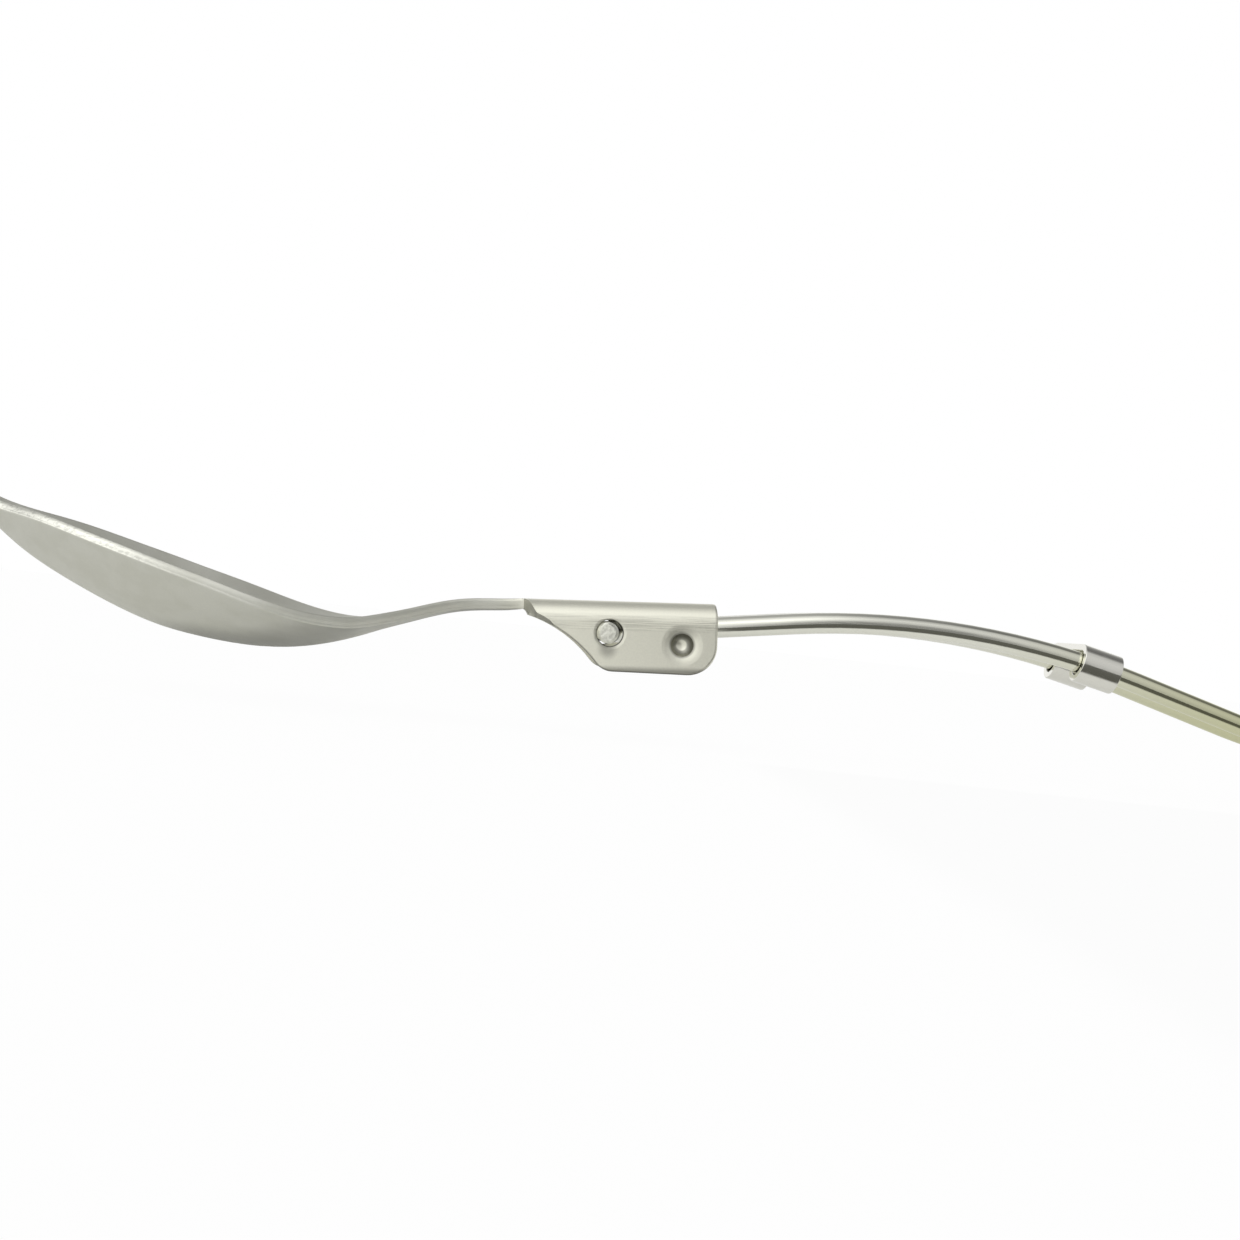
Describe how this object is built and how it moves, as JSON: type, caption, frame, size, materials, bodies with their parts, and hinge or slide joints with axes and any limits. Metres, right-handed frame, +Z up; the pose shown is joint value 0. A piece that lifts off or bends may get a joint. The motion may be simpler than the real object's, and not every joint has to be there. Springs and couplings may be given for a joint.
{
  "type": "folding spork",
  "caption": "Folding titanium pocket spork: deep bowl with short tines, U-shaped hinge channel, bent wire loop handle that folds under the bowl, and a sliding band on the wires.",
  "frame": {"origin": "centre of the bounding box's bottom, on the surface that the open spork lies on", "axes": "+X from the tines towards the handle's loop, +Z up, +Y across; the bowl opens upwards"},
  "size_m": [0.1708, 0.0356, 0.0154],
  "materials": {
    "satin_titanium": "bead-blasted titanium sheet, satin warm grey",
    "polished_wire": "polished titanium wire, slightly yellow",
    "polished_band": "polished metal band"
  },
  "bodies": {
    "head": {"spork_head": "satin_titanium"},
    "handle": {"wire_handle": "polished_wire"},
    "lock": {"slide_lock": "polished_band"}
  },
  "joints": [
    {"name": "handle_fold", "type": "hinge", "parent": "head", "child": "handle", "pos_m": [-0.00501, 0, 0.0065], "axis": [0, 1, 0], "range_deg": [0, 174]},
    {"name": "lock_slide", "type": "hinge", "parent": "handle", "child": "lock", "pos_m": [0.03422, 0, -0.09471], "axis": [0, -1, 0], "range_deg": [-1.2, 20]}
  ]
}
